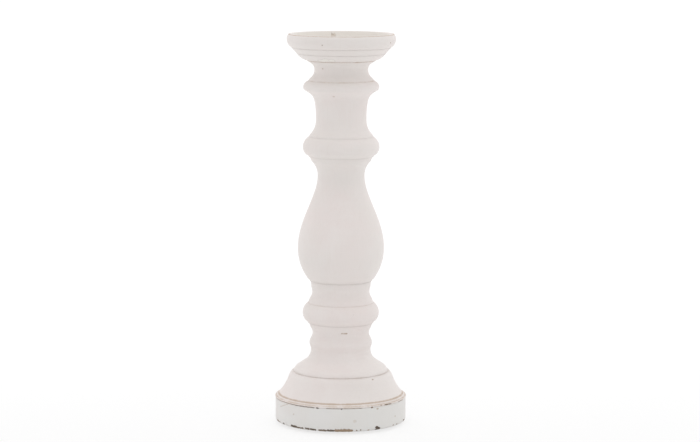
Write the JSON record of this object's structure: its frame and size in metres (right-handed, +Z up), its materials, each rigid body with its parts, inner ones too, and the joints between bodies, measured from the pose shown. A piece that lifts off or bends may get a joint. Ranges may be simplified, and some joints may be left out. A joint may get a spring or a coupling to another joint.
{
  "type": "wooden candlestick",
  "caption": "Tall turned wooden candlestick for a pillar candle: recessed dish on a baluster spindle with a moulded round base, distressed off-white paint.",
  "frame": {"origin": "on the table under the middle of the base, at the lower face of the felt pads", "axes": "+Z up along the axis of the turning; the object is round, so X and Y only set where the screws and pads stand"},
  "size_m": [0.1216, 0.1216, 0.36],
  "materials": {
    "painted_wood": "chalky off-white paint, sanded through on arrises and in grooves, with brown chips",
    "beech": "bare wood",
    "zinc_plated_steel": "bright zinc plate",
    "felt": "brown pressed wool felt"
  },
  "bodies": {
    "root": {"candle_dish": "painted_wood", "spindle": "painted_wood", "base_moulding": "painted_wood", "plinth": "painted_wood", "dish_dowel": "beech", "spindle_screw": "zinc_plated_steel", "spindle_screw_washer": "zinc_plated_steel", "base_screws": "zinc_plated_steel", "felt_pad_1": "felt", "felt_pad_2": "felt", "felt_pad_3": "felt", "felt_pad_4": "felt"}
  },
  "joints": []
}
